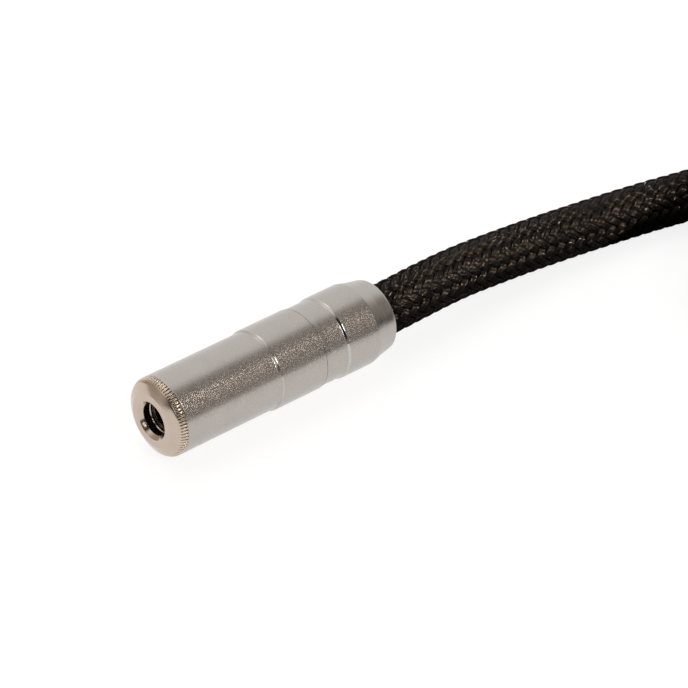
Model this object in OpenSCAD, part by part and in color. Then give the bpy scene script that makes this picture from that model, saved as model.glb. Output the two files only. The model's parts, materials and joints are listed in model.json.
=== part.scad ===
// An in-line stereo jack socket in a turned metal shell, on a braided lead that ends in a plug.
// The socket lies along X, mouth at -X, on the surface z = 0. Lengths are in millimetres.
// Stations named x_... are distances from the socket's front face, or from the plug's shoulder.

/* [Jack size] */
// Diameter of the plug's shaft
shaft_d = 6.35; // [5.4:0.05:7.6]
// Length of the plug's shaft from shoulder to tip
shaft_len = 31; // [26:0.5:37]
// Clearance on the diameter between the shaft and the mouth's bore
mouth_play = 0.1; // [0.06:0.02:0.2]

/* [Knurled bush] */
// Depth of the chamfer round the mouth
mouth_chamfer = 0.72; // [0.5:0.02:0.9]
// Length of the plain wall of the mouth behind its chamfer
mouth_wall = 1.4; // [1:0.1:1.6]
// Width of the flat ring round the mouth
face_ring = 1.45; // [1:0.05:1.8]
// Length of the bevel from the flat ring to the rim
bevel_len = 1.25; // [1:0.05:1.6]
// Width of the knurled rim
rim_len = 1.2; // [1:0.05:1.6]
// Number of teeth round the knurled rim
knurl_teeth = 74; // [60:1:90]
// Depth of the grooves between the teeth
knurl_depth = 0.25; // [0.15:0.01:0.32]
// Length of the threaded shank that screws into the barrel
shank_len = 3.6; // [3:0.1:5]

/* [Barrel] */
// Diameter of the barrel in front
barrel_d = 15.8; // [14.6:0.1:19]
// Wall of the barrel
barrel_wall = 1.5; // [1.2:0.05:1.8]
// How far the rear land stands proud of the barrel, on the radius
land_rise = 0.3; // [0.1:0.05:0.5]
// Length of the bright chamfer in front of the land
land_chamfer = 0.55; // [0.3:0.05:0.8]
// Length of the rear land
land_len = 10.75; // [8:0.25:13]
// Room behind the plug's tip for the contacts' roots
root_room = 4.8; // [4:0.1:6]
// Length of the threaded spigot that the tail cap screws on
spigot_len = 5.2; // [4.4:0.1:6.2]
// Wall of the spigot
spigot_wall = 0.7; // [0.6:0.05:0.8]

/* [Tail cap] */
// Length of the cap's neck
neck_len = 5.2; // [4.5:0.1:6.2]
// How far the neck lies below the barrel's land, on the radius
neck_drop = 0.2; // [0.05:0.05:0.3]
// Length of the bevel at the front of the neck
neck_bevel = 1.2; // [0.6:0.1:2]
// How far the cap's land stands proud of its neck, on the radius
cap_rise = 0.3; // [0.1:0.05:0.5]
// Length of the bright chamfer in front of the cap's land
cap_chamfer = 0.5; // [0.3:0.05:0.8]
// Length of the cap's land
cap_land = 7.3; // [6:0.1:9]
// Length of the steep part of the taper behind the land
shoulder_len = 2.4; // [2:0.1:3]
// How far the steep part comes in, on the radius
shoulder_drop = 0.6; // [0.4:0.05:0.8]
// Length of the slow part of the taper
taper_len = 2.2; // [2:0.1:4]
// How far the slow part comes in, on the radius
taper_drop = 0.4; // [0.3:0.05:0.8]
// Radius of the rounded rear edge
nose_r = 1; // [0.5:0.1:1.2]

/* [Contacts] */
// Thickness of the contact strip
strip_t = 0.35; // [0.25:0.01:0.45]
// Width of the contact strip
strip_w = 2.2; // [1.8:0.1:2.6]
// How far the tip contact's nose stands inside the shaft's radius
tip_reach = 1.1; // [0.9:0.05:1.15]
// How far the ring contact's nose stands inside the shaft's radius
ring_reach = 0.33; // [0.2:0.01:0.5]

/* [Cable] */
// Diameter of the braided cable
cable_d = 9.5; // [8:0.1:11.4]
// Thickness of the braid over the jacket
braid_t = 0.75; // [0.5:0.05:0.9]
// Gap between the cable and the cap's rear opening, on the radius
exit_gap = 0.25; // [0.15:0.05:0.3]
// Thickness of the chuck at its thick end
chuck_wall = 1.45; // [1.2:0.05:1.5]
// Diameter of each insulated wire inside the cable
wire_d = 1.5; // [1.2:0.1:1.8]

/* [Coil] */
// Radius of the coil's outer turn
coil_r = 59; // [54:0.5:66]
// Gap between neighbouring turns
turn_gap = 0.45; // [0.42:0.01:0.6]
// Number of turns, in two layers
coil_turns = 4.44; // [3.44:1:5.44]
// Thickness of the straps that tie the coil
tie_t = 0.8; // [0.5:0.1:1]
// Width of the straps
tie_w = 10; // [6:1:11]

/* [Hidden] */

fit = 0.05;       // clearance on the radius between pieces that slide or screw together
slot_play = 0.05; // clearance each side of a strip in its slot
past = 1;         // how far a cutter runs past the face it cuts
seat = 0.03;      // gap left between pieces that are pushed up against each other
press = 0.02;     // gap left on the radius between pieces that are pressed together

// Thicknesses of the inner pieces
ferrule_wall = 1.35;
flange_rise = 1;
flange_t = 0.9;
plate_t = 1.2;
spacer_t = 0.45;
lip_t = 1;
channel_play = 0.25; // how far the channel stands back from the mouth's bore
strip_back = 0.925;  // how far the strips' roots stand back from the channel

// Radii, from the axis
shaft_r = shaft_d / 2;
mouth_r = shaft_r + mouth_play / 2;
face_r = mouth_r + mouth_chamfer + face_ring;
barrel_r = barrel_d / 2;
barrel_bore_r = barrel_r - barrel_wall;
spigot_r = barrel_bore_r + spigot_wall;
land_r = barrel_r + land_rise;
neck_r = land_r - neck_drop;
cap_r = neck_r + cap_rise;
shoulder_r = cap_r - shoulder_drop;
tail_r = shoulder_r - taper_drop;
ferrule_r = mouth_r + ferrule_wall;
flange_r = ferrule_r + flange_rise;
carrier_r = barrel_bore_r - fit;
channel_r = mouth_r + channel_play;
strip_z = channel_r + strip_back; // the height of both contact strips at their roots
strap_y = ferrule_r + fit;       // the inner face of the earth strap
lip_r = strap_y + strip_t + 0.3; // the hole in the lip that the barrel ends with
cable_r = cable_d / 2;
jacket_r = cable_r - braid_t;
exit_r = cable_r + exit_gap;
chuck_r = cable_r + chuck_wall;

// Stations along the socket, from its front face
x_rim = bevel_len;
x_seam = x_rim + rim_len;
x_joint = shaft_len + root_room;
x_land = x_joint - land_len;
x_step = x_land - land_chamfer;
x_ferrule = mouth_chamfer + mouth_wall + seat;
x_shank_end = x_seam + shank_len;
x_flange_end = x_shank_end + flange_t;
x_ferrule_end = x_flange_end + 5.1;
x_channel_end = shaft_len + 0.8;
x_root = x_channel_end + 1.2;
x_carrier_end = x_joint + 1.2;
x_plate_end = x_carrier_end + plate_t;
lug_past = 2; // how far the lugs reach past the spigot
x_lug_end = x_joint + spigot_len + lug_past;

// Stations along the tail, from the joint between the barrel and the tail cap
t_neck = neck_len;
t_land = t_neck + cap_chamfer;
t_land_end = t_land + cap_land;
t_shoulder = t_land_end + shoulder_len;
t_taper = t_shoulder + taper_len;
t_end = t_taper + nose_r;
t_thread_end = spigot_len + 2.9;
t_jacket = t_thread_end + 1.7;
t_shrink = t_jacket + 0.5;
t_braid = t_shrink + 0.4;
t_chuck = t_braid + 1;
t_chuck_taper = t_chuck + 0.7;
t_chuck_end = t_taper - 1.8;

socket_len = x_joint + t_end;
axis_z = cap_r; // the socket lies on its widest land

// Plug, from its shoulder: the barrel is short and carries the same tail
p_joint = 14;

// The coil and its ties
turn_pitch = cable_d + turn_gap;
coil_z = tie_t + 0.1 + cable_r;
coil_centre = [132, -75];
coil_start = 69;        // the angle where the lead comes into the coil, clockwise from there
loop_rings = 24;
tie_angles = [30, 150, 300];
coil_climb = 0.5;       // turns over which the coil climbs to its second layer

// The lead's route in the row frame: out of the tail, down to the surface and on to the coil
run_points = [
    [41, 0.4, 8.2], [50, 1, 7.6], [58, 1.1, 6.9], [66, 1, 6.2],
    [74, 0.7, 5.5], [82, 0, 5], [90, -1.2, 4.8], [99, -3, 4.75], [108, -5.3, 4.8],
    [117, -7.7, 4.9], [126, -10.2, 5.2], [135, -12.9, 5.5]
];
// The plug lies beside the coil, pointing back along the lead: its shoulder in the row frame
plug_at = [42, -134.3];
plug_points = [[110, -134.3, 15], [100, -134.4, 13], [90, -134.4, 10.2]];

$fn = 96;

// ---------------------------------------------------------------- helpers

// A ring turned about the X axis, from its outline as [radius, station] points
module lathe(outline)
    rotate([0, 90, 0])
        rotate_extrude()
            polygon(outline);

// A plain tube or disc along X
module tube(x0, x1, r_out, r_in = 0)
    lathe([[r_in, x0], [r_out, x0], [r_out, x1], [r_in, x1]]);

// A bar along X from x0 to x1 with a flat section w wide and h high, whose middle is at y, z
module bar(x0, x1, y, z, w, h)
    translate([x0, y - w / 2, z - h / 2])
        cube([x1 - x0, w, h]);

module in_socket()
    translate([-socket_len / 2, 0, axis_z])
        children();

module in_plug()
    translate([plug_at[0], plug_at[1], axis_z])
        children();

function unit(v) = v / norm(v);

// The points of a strip of thickness t that follows a line of [x, z] points
function line_normal(p, i) =
    let (a = p[max(i - 1, 0)], b = p[min(i + 1, len(p) - 1)], d = unit(b - a))
    [-d[1], d[0]];

function strip_outline(p, t) = concat(
    [for (i = [0:len(p) - 1]) p[i] + line_normal(p, i) * t / 2],
    [for (i = [len(p) - 1:-1:0]) p[i] - line_normal(p, i) * t / 2]
);

module strip(p, t, w)
    translate([0, w / 2, 0])
        rotate([90, 0, 0])
            linear_extrude(w)
                polygon(strip_outline(p, t));

// The angle of each of n corners round a swept tube: one corner is straight up
function corner(i, n) = 90 + 360 * i / n;

function tangent(p, i) =
    i == 0 ? unit(p[1] - p[0])
    : i == len(p) - 1 ? unit(p[i] - p[i - 1])
    : unit(p[i + 1] - p[i - 1]);

function tube_ring(p, t, r, n) =
    let (side = unit(cross([0, 0, 1], t)), up = cross(t, side))
    [for (i = [0:n - 1]) p + r * (cos(corner(i, n)) * side + sin(corner(i, n)) * up)];

// A solid tube swept along the points p
module swept(p, r, n) {
    m = len(p);
    points = [for (i = [0:m - 1]) each tube_ring(p[i], tangent(p, i), r, n)];
    sides = [
        for (i = [0:m - 2]) for (j = [0:n - 1])
            let (a = i * n + j, b = i * n + (j + 1) % n)
            each [[a, b, a + n], [b, b + n, a + n]]
    ];
    caps = concat(
        [for (j = [1:n - 2]) [0, j + 1, j]],
        [for (j = [1:n - 2]) [(m - 1) * n, (m - 1) * n + j, (m - 1) * n + j + 1]]
    );
    polyhedron(points = points, faces = concat(sides, caps));
}

// ---------------------------------------------------------------- shared turned pieces

// The toothed outline of the knurled rim
module knurl_outline(r) {
    pitch = 360 / knurl_teeth;
    crest = 0.28; // half of each tooth's flat top, as a share of the pitch
    polygon([
        for (i = [0:knurl_teeth - 1]) for (q = [[-crest, 0], [crest, 0], [0.5, knurl_depth]])
            (r - q[1]) * [cos((i + q[0]) * pitch), sin((i + q[0]) * pitch)]
    ]);
}

// The head of a bush: flat ring, bevel and knurled rim round a bore
module bush_head(bore, chamfer) {
    slope = (barrel_r - face_r) / bevel_len;
    over = 0.6; // how far the turned blank stands outside the teeth
    intersection() {
        lathe([
            [bore + chamfer, 0], [face_r, 0], [barrel_r + over, x_rim + over / slope],
            [barrel_r + over, x_seam], [bore, x_seam], [bore, chamfer]
        ]);
        rotate([90, 0, 90])
            linear_extrude(x_seam)
                knurl_outline(barrel_r);
    }
}

// The barrel: plain front, bright chamfer, land, and the threaded spigot behind it
module barrel_shell(front, step, land, joint) {
    edge = 0.2; // the fine chamfer at the barrel's front edge
    end = joint + spigot_len;
    lathe([
        [barrel_bore_r, front], [barrel_r - edge, front], [barrel_r, front + edge],
        [barrel_r, step], [land_r, land], [land_r, joint], [spigot_r, joint],
        [spigot_r, end], [lip_r, end], [lip_r, end - lip_t], [barrel_bore_r, end - lip_t]
    ]);
}

// The tail cap, with its joint at station x
module cap_shell(x) {
    face_out = tail_r - nose_r;
    seat_r = chuck_r + fit;
    lip = 0.25; // the broken edge of the rear opening
    round_points = [for (a = [0:15:90]) [face_out + nose_r * cos(a), t_taper + nose_r * sin(a)]];
    outline = concat(
        [
            [spigot_r + fit, 0], [land_r - 0.03, 0], [neck_r, neck_bevel], [neck_r, t_neck],
            [cap_r, t_land], [cap_r, t_land_end], [shoulder_r, t_shoulder]
        ],
        round_points,
        [
            [exit_r + lip, t_end], [exit_r, t_end - lip], [exit_r, t_chuck_end + 0.6],
            [seat_r, t_chuck_taper], [seat_r, t_thread_end], [spigot_r + fit, t_thread_end]
        ]
    );
    lathe([for (p = outline) [p[0], x + p[1]]]);
}

// The split chuck that grips the cable in the cap's taper
module chuck(x) {
    small_r = cable_r + 0.32;
    slit = 0.8;
    difference() {
        lathe([
            [cable_r + fit, x + t_chuck], [chuck_r, x + t_chuck], [chuck_r, x + t_chuck_taper],
            [small_r, x + t_chuck_end], [cable_r + fit, x + t_chuck_end]
        ]);
        for (a = [0:120:240])
            rotate([a, 0, 0])
                bar(x + t_chuck + 1.4, x + t_chuck_end + past, 0, chuck_r, slit, 2 * chuck_r - 2);
    }
}

// The flanged ring that the spigot pushes against the chuck, bored out in front round the lugs
module thrust(x) {
    lug_room_r = strap_y + strip_t + solder_h + 0.2;
    lug_room_end = x + spigot_len + lug_past + 0.15;
    neck_bore_r = chuck_r - 0.65;
    lathe([
        [lug_room_r, x + spigot_len], [spigot_r, x + spigot_len],
        [spigot_r, x + t_thread_end - 0.05], [chuck_r, x + t_thread_end - 0.05],
        [chuck_r, x + t_chuck], [neck_bore_r, x + t_chuck],
        [neck_bore_r, lug_room_end], [lug_room_r, lug_room_end]
    ]);
}

// The heat-shrink ring that binds the end of the braid to the jacket
module shrink(x) {
    wall = 0.4;
    lathe([
        [jacket_r + press, x + t_shrink], [jacket_r + wall, x + t_shrink],
        [cable_r + wall, x + t_braid], [cable_r + wall, x + t_chuck - 0.1],
        [cable_r + press, x + t_chuck - 0.1], [cable_r + press, x + t_braid - seat],
        [jacket_r + press, x + t_braid - seat]
    ]);
}

module jacket(x) tube(x + t_jacket, x + t_end, jacket_r);

module braid(x) tube(x + t_braid, x + t_end, cable_r, jacket_r);

// ---------------------------------------------------------------- the socket's shell

module knurled_bush() color("tan") in_socket() {
    difference() {
        bush_head(mouth_r, mouth_chamfer);
        tube(mouth_chamfer + mouth_wall, x_seam + past, ferrule_r + fit);
    }
    tube(x_seam, x_shank_end, carrier_r, ferrule_r + fit);
}

module front_barrel() color("silver") in_socket()
    barrel_shell(x_seam, x_step, x_land, x_joint);

module tail_cap() color("silver") in_socket() cap_shell(x_joint);

// ---------------------------------------------------------------- the socket's contacts

// The earth contact: a tube behind the mouth with a bright front edge and a groove inside
module sleeve_ferrule() color("darkkhaki") in_socket() {
    edge = 0.3;
    groove = 0.4;
    x_groove = x_ferrule + edge + groove;
    lathe([
        [mouth_r + edge, x_ferrule], [ferrule_r, x_ferrule], [ferrule_r, x_shank_end],
        [flange_r, x_shank_end], [flange_r, x_flange_end], [ferrule_r, x_flange_end],
        [ferrule_r, x_ferrule_end], [mouth_r, x_ferrule_end],
        [mouth_r, x_groove + groove], [mouth_r + groove, x_groove + groove],
        [mouth_r + groove, x_groove], [mouth_r, x_groove], [mouth_r, x_ferrule + edge]
    ]);
}

// The moulded body that holds the contacts, open above and below the shaft's channel
module contact_carrier() color("dimgray") in_socket() difference() {
    window = strip_w + 1;
    slot_h = strip_t + 2 * slot_play;
    slot_w = strip_w + 2 * slot_play;
    tube(x_shank_end, x_carrier_end, carrier_r);
    tube(x_shank_end - past, x_channel_end, channel_r);
    tube(x_shank_end - past, x_ferrule_end + 0.05, ferrule_r + fit);
    tube(x_shank_end - past, x_flange_end + seat, flange_r + fit);
    bar(x_nose(tip_nose) - leaf_past, x_root, 0, carrier_r / 2 + past, window, carrier_r + 2 * past);
    bar(x_nose(ring_nose) - leaf_past, x_root, 0, -carrier_r / 2 - past, window, carrier_r + 2 * past);
    for (side = [-1, 1])
        bar(x_root - past, x_carrier_end + past, 0, side * strip_z, slot_w, slot_h);
    bar(x_flange_end, x_carrier_end + past, strap_y + carrier_r / 2 - slot_play, 0, carrier_r, slot_w);
    screw_holes(x_carrier_end - 3, x_carrier_end + past);
}

// The contacts' noses, measured from the shaft's tip
tip_nose = 3.5;
ring_nose = 8.7;
leaf_past = 3.4; // how far a window runs past its leaf's nose
function x_nose(from_tip) = shaft_len - from_tip;

// A leaf that is bent down to its nose and up again, from its root behind
function leaf_line(nose, reach) =
    let (xn = x_nose(nose), zn = shaft_r - reach + strip_t / 2, xr = x_root - 0.05, rise = strip_z - zn)
    [
        [xr, strip_z], [xr - (xr - xn) * 0.45, strip_z - 0.08 * rise], [xn + 1.3, zn + 0.42 * rise],
        [xn + 0.35, zn + 0.06 * rise], [xn, zn], [xn - 0.35, zn + 0.06 * rise],
        [xn - 1.1, zn + 0.38 * rise], [xn - 1.9, zn + 0.72 * rise]
    ];

module tip_spring() color("gold") in_socket()
    strip(leaf_line(tip_nose, tip_reach), strip_t, strip_w);

module ring_spring() color("gold") in_socket()
    mirror([0, 0, 1])
        strip(leaf_line(ring_nose, ring_reach), strip_t, strip_w);

eye = 1; // diameter of the wires' eyes, and how far each lies from its lug's end

// The fixed rear end of a contact strip, with its eye
module lug(side)
    difference() {
        bar(x_root, x_lug_end, 0, side * strip_z, strip_w, strip_t);
        translate([x_lug_end - eye, 0, side * strip_z])
            cylinder(h = 2 * past, d = eye, center = true, $fn = 32);
    }

module tip_lug() color("gold") in_socket() lug(1);

module ring_lug() color("gold") in_socket() lug(-1);

module ground_strap() color("gold") in_socket()
    difference() {
        bar(x_flange_end, x_lug_end, strap_y + strip_t / 2, 0, strip_t, strip_w);
        translate([x_lug_end - eye, strap_y, 0])
            rotate([90, 0, 0])
                cylinder(h = 4 * past, d = eye, center = true, $fn = 32);
    }

// ---------------------------------------------------------------- behind the contacts

screw_d = 1;
screw_head_r = 0.9;
spacer_bore_r = carrier_r - spacer_t;
screw_circle = spacer_bore_r - screw_head_r - 0.2;
screw_angle = 28; // each side of -Y
screw_yz = [for (a = [-screw_angle, screw_angle]) screw_circle * [-cos(a), sin(a)]];

module screw_holes(x0, x1)
    for (p = screw_yz)
        translate([x0, p[0], p[1]])
            rotate([0, 90, 0])
                cylinder(h = x1 - x0, d = screw_d + 0.1, $fn = 32);

// The plate that closes the carrier and keeps the strips in their slots
module end_plate() color("saddlebrown") in_socket() difference() {
    tube(x_carrier_end, x_plate_end, carrier_r);
    for (side = [-1, 1])
        bar(x_carrier_end - past, x_plate_end + past, 0, side * strip_z,
            strip_w + 2 * slot_play, strip_t + 2 * slot_play);
    bar(x_carrier_end - past, x_plate_end + past, strap_y + strip_t / 2, 0,
        strip_t + 2 * slot_play, strip_w + 2 * slot_play);
    screw_holes(x_carrier_end - past, x_plate_end + past);
}

module end_plate_screws() color("gainsboro") in_socket()
    for (p = screw_yz)
        translate([0, p[0], p[1]])
            difference() {
                union() {
                    tube(x_carrier_end - 2.8, x_plate_end, screw_d / 2, $fn = 32);
                    tube(x_plate_end, x_plate_end + 0.6, screw_head_r, $fn = 32);
                }
                bar(x_plate_end + 0.3, x_plate_end + past, 0, 0, 3 * screw_d, 0.3);
            }

module spacer_ring() color("saddlebrown") in_socket()
    tube(x_plate_end, x_joint + spigot_len - lip_t, carrier_r, spacer_bore_r);

module thrust_ring() color("silver") in_socket() thrust(x_joint);

module cable_chuck() color("ivory") in_socket() chuck(x_joint);

module shrink_ring() color("black") in_socket() shrink(x_joint);

module cable_jacket() color("black") in_socket() jacket(x_joint);

module braid_end() color("dimgray") in_socket() braid(x_joint);

// ---------------------------------------------------------------- wires and solder

wire_r = wire_d / 2;
solder_d = 1.7;
solder_h = 0.35;
x_jacket = x_joint + t_jacket;
wire_circle = jacket_r * 0.45; // the circle that the wires leave the jacket on

// A wire from the inner face of a lug, at height h above the axis, to its place in the jacket's end
module lug_wire(x_lug, h, x_end) {
    inside = h - wire_r - press;
    swept([
        [x_lug - 1.6, 0, inside], [x_lug + 0.3, 0, inside],
        [x_end - 0.9 * wire_r, 0, wire_circle], [x_end, 0, wire_circle]
    ], wire_r, 12);
}

module tip_wire() color("white") in_socket()
    lug_wire(x_lug_end, strip_z - strip_t / 2, x_jacket);

module ring_wire() color("firebrick") in_socket()
    rotate([180, 0, 0])
        lug_wire(x_lug_end, strip_z - strip_t / 2, x_jacket);

module screen_wire() color("peru") in_socket()
    rotate([-90, 0, 0])
        lug_wire(x_lug_end, strap_y, x_jacket);

// A low bead of solder that closes each eye from the lug's outer face
module solder_bead()
    intersection() {
        translate([0, 0, solder_h - solder_d / 2])
            sphere(d = solder_d, $fn = 32);
        translate([0, 0, solder_d / 2])
            cube(solder_d, center = true);
    }

module solder_joints() color("lightgray") in_socket() {
    x = x_lug_end - eye;
    for (side = [-1, 1])
        translate([x, 0, side * (strip_z + strip_t / 2)])
            rotate([side > 0 ? 0 : 180, 0, 0])
                solder_bead();
    translate([x, strap_y + strip_t, 0])
        rotate([-90, 0, 0])
            solder_bead();
}

// ---------------------------------------------------------------- the lead

// The coil's centreline: in towards its middle on the surface, up, and out again on top
coil_in = coil_turns / 2;
function coil_radius(t) = coil_r - turn_pitch * min(t, coil_turns - t);
function coil_rise(t) =
    let (s = min(max((t - coil_in) / coil_climb + 0.5, 0), 1))
    s * s * (3 - 2 * s);
function coil_point(t) =
    let (a = coil_start - 360 * t)
    [
        coil_centre[0] + coil_radius(t) * cos(a),
        coil_centre[1] + coil_radius(t) * sin(a),
        coil_z + turn_pitch * coil_rise(t)
    ];
coil_steps = ceil(coil_turns * loop_rings);
coil_loop = [for (i = [0:coil_steps]) coil_point(coil_turns * i / coil_steps)];
coil_first = coil_loop[0];
coil_last = coil_loop[coil_steps];
coil_in_dir = unit(coil_point(0.001) - coil_first);
coil_out_dir = unit(coil_last - coil_point(coil_turns - 0.001));
coil_line = concat(
    [coil_first - cable_d * coil_in_dir],
    coil_loop,
    [coil_last + cable_d * coil_out_dir]
);

// The least gap between stretches of the coil that are more than a third of a turn apart
coil_gap = min([
    for (i = [0:coil_steps]) for (j = [i + ceil(loop_rings / 3):1:coil_steps])
        norm(coil_loop[i] - coil_loop[j])
]) - cable_d;
echo(coil_gap = coil_gap);

// Each free stretch starts and ends straight, square to what it meets
square_run = cable_r;
along_x = [1, 0, 0];
socket_exit = [socket_len / 2, 0, axis_z];
plug_exit = [plug_at[0] + p_joint + t_end, plug_at[1], axis_z];
coil_front = coil_line[0];
coil_back = coil_line[len(coil_line) - 1];
run_line = concat(
    [socket_exit, socket_exit + square_run * along_x],
    run_points,
    [coil_front - square_run * coil_in_dir, coil_front]
);
plug_line = concat(
    [coil_back, coil_back + square_run * coil_out_dir],
    plug_points,
    [plug_exit + square_run * along_x, plug_exit]
);

function line_length(p) = len(p) < 2 ? 0
    : [for (i = [0:len(p) - 2]) norm(p[i + 1] - p[i])] * [for (i = [0:len(p) - 2]) 1];
echo(lead_length = line_length(run_line) + line_length(coil_line) + line_length(plug_line));

module cable_run() color("black") swept(run_line, cable_r, 8);

module cable_coil() color("black") swept(coil_line, cable_r, 6);

module plug_run() color("black") swept(plug_line, cable_r, 8);

// A flat loop with round corners, drawn round a box of w by h whose corner is at the origin
module loop_outline(w, h, r) {
    translate([r, 0])
        square([w - 2 * r, h]);
    translate([0, r])
        square([w, h - 2 * r]);
    for (x = [r, w - r]) for (y = [r, h - r])
        translate([x, y])
            circle(r, $fn = 32);
}

// A strap round the coil's section at angle a
module tie(a) {
    turns = (coil_start - a) / 360;
    inside = [for (k = [-1:ceil(coil_turns)]) let (t = turns + k)
        if (t >= 0 && t <= coil_turns) coil_radius(t)];
    inner_r = min(inside) - cable_r;
    bow = inner_r - sqrt(inner_r * inner_r - tie_w * tie_w / 4);
    low = inner_r - bow - 0.15;
    high = max(inside) + cable_r + 0.15;
    tall = turn_pitch + cable_d + 0.2;
    corner_r = cable_r * 0.8;
    translate([coil_centre[0], coil_centre[1], 0])
        rotate([0, 0, a])
            translate([low - tie_t, tie_w / 2, 0])
                rotate([90, 0, 0])
                    linear_extrude(tie_w)
                        difference() {
                            loop_outline(high - low + 2 * tie_t, tall + 2 * tie_t, corner_r + tie_t);
                            translate([tie_t, tie_t])
                                loop_outline(high - low, tall, corner_r);
                        }
}

module coil_ties() color("dimgray")
    for (a = tie_angles)
        tie(a);

// ---------------------------------------------------------------- the plug

rod_r = shaft_r * 0.3;
ring_tube_r = shaft_r * 0.54;
ring_bore_r = rod_r + 0.4;
sleeve_bore_r = ring_tube_r + 0.45;
p_tip_end = -(shaft_len - 5.6);
p_ring = p_tip_end + 1;
p_ring_end = p_ring + 3.4;
p_sleeve = p_ring_end + 1;
p_sleeve_end = x_seam + shank_len;
p_ring_lug = p_sleeve_end + 1.5;
p_tip_lug = p_ring_lug + 1.5;
lug_t = 0.5;
sleeve_neck_r = shaft_r + 0.35;
sleeve_root_r = shaft_r + 0.8;

// The tip: a ball with a waist behind it, on the rod that runs through the whole plug
module plug_tip() color("tan") in_plug() lathe([
    [0, -shaft_len], [0.28 * shaft_r, -shaft_len], [0.62 * shaft_r, -shaft_len + 0.5],
    [0.9 * shaft_r, -shaft_len + 1.7], [0.93 * shaft_r, -shaft_len + 2.1],
    [0.9 * shaft_r, -shaft_len + 2.5], [0.7 * shaft_r, -shaft_len + 3.4],
    [0.72 * shaft_r, -shaft_len + 3.8], [0.93 * shaft_r, -shaft_len + 4.6],
    [0.93 * shaft_r, p_tip_end], [rod_r, p_tip_end], [rod_r, p_tip_lug + lug_t], [0, p_tip_lug + lug_t]
]);

// A black washer that shows between two contacts, and the tube that lines it further in
module plug_insulator(x0, x1, r_in, r_tube, x_end) in_plug()
    lathe([
        [r_in, x0], [0.93 * shaft_r, x0], [0.93 * shaft_r, x1], [r_tube, x1],
        [r_tube, x_end], [r_in, x_end]
    ]);

module plug_tip_insulator() color("black")
    plug_insulator(p_tip_end, p_ring, rod_r + seat, ring_bore_r - seat, p_ring_lug + lug_t + 0.5);

module plug_ring() color("tan") in_plug() lathe([
    [ring_bore_r, p_ring], [shaft_r, p_ring], [shaft_r, p_ring_end], [ring_tube_r, p_ring_end],
    [ring_tube_r, p_ring_lug + lug_t], [ring_bore_r, p_ring_lug + lug_t]
]);

module plug_ring_insulator() color("black")
    plug_insulator(p_ring_end, p_sleeve, ring_tube_r + seat, sleeve_bore_r - seat,
        p_sleeve_end + lug_t + 0.5);

// The sleeve: the shaft's rear contact, with a shoulder and a thicker root held in the bush
module plug_sleeve() color("tan") in_plug() lathe([
    [sleeve_bore_r, p_sleeve], [shaft_r, p_sleeve], [shaft_r, 0], [sleeve_neck_r, 0],
    [sleeve_neck_r, x_seam], [sleeve_root_r, x_seam],
    [sleeve_root_r, p_sleeve_end + lug_t], [sleeve_bore_r, p_sleeve_end + lug_t]
]);

module plug_bush() color("tan") in_plug() {
    bush_head(sleeve_neck_r + press, 0.2);
    tube(x_seam, x_shank_end, carrier_r, sleeve_root_r + press);
}

module plug_barrel() color("silver") in_plug()
    barrel_shell(x_seam, p_joint - 8, p_joint - 8 + land_chamfer, p_joint);

module plug_tail_cap() color("silver") in_plug() cap_shell(p_joint);

module plug_chuck() color("ivory") in_plug() chuck(p_joint);

module plug_thrust_ring() color("silver") in_plug() thrust(p_joint);

module plug_shrink_ring() color("black") in_plug() shrink(p_joint);

module plug_jacket() color("black") in_plug() jacket(p_joint);

module plug_braid_end() color("dimgray") in_plug() braid(p_joint);

// A ring with a flat tail that its wire lies on, turned to angle a about the shaft
module ring_lug_at(x, r_in, a) rotate([a, 0, 0]) {
    difference() {
        union() {
            tube(x, x + lug_t, r_in + 0.9);
            bar(x, x + lug_t, 0, lug_reach / 2, strip_w, lug_reach);
        }
        tube(x - past, x + lug_t + past, r_in);
    }
    bar(x, p_lug_end, 0, lug_reach + strip_t / 2, strip_w, strip_t);
}
lug_reach = sleeve_root_r + 0.1;
p_lug_end = p_tip_lug + 3.2;

module plug_lugs() color("gold") in_plug() {
    ring_lug_at(p_tip_lug, rod_r + seat, 0);
    ring_lug_at(p_ring_lug, ring_tube_r + seat, 120);
    ring_lug_at(p_sleeve_end + press, sleeve_root_r + seat, 240);
}

// Fibre washers between the lugs
module plug_lug_washers() color("saddlebrown") in_plug() {
    tube(p_sleeve_end + lug_t + 0.05, p_ring_lug - press, sleeve_bore_r + 1.2, sleeve_bore_r);
    tube(p_ring_lug + lug_t + press, p_tip_lug - press, ring_tube_r + 1, ring_tube_r);
}

// The three wires run inside their lugs' tails and turn in to the jacket
module plug_wires() color("peru") in_plug()
    for (a = [0, 120, 240])
        rotate([a, 0, 0])
            lug_wire(p_lug_end, lug_reach, p_joint + t_jacket);

module plug_solder() color("lightgray") in_plug()
    for (a = [0, 120, 240])
        rotate([a, 0, 0])
            translate([p_lug_end - 1.1, 0, lug_reach + strip_t])
                solder_bead();

// ---------------------------------------------------------------- what is drawn

knurled_bush();
front_barrel();
tail_cap();
sleeve_ferrule();
contact_carrier();
tip_spring();
ring_spring();
tip_lug();
ring_lug();
ground_strap();
end_plate();
end_plate_screws();
spacer_ring();
thrust_ring();
cable_chuck();
cable_jacket();
braid_end();
shrink_ring();
tip_wire();
ring_wire();
screen_wire();
solder_joints();
cable_run();
cable_coil();
coil_ties();
plug_run();
plug_tip();
plug_tip_insulator();
plug_ring();
plug_ring_insulator();
plug_sleeve();
plug_bush();
plug_barrel();
plug_tail_cap();
plug_chuck();
plug_thrust_ring();
plug_lugs();
plug_lug_washers();
plug_jacket();
plug_braid_end();
plug_shrink_ring();
plug_wires();
plug_solder();
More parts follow.
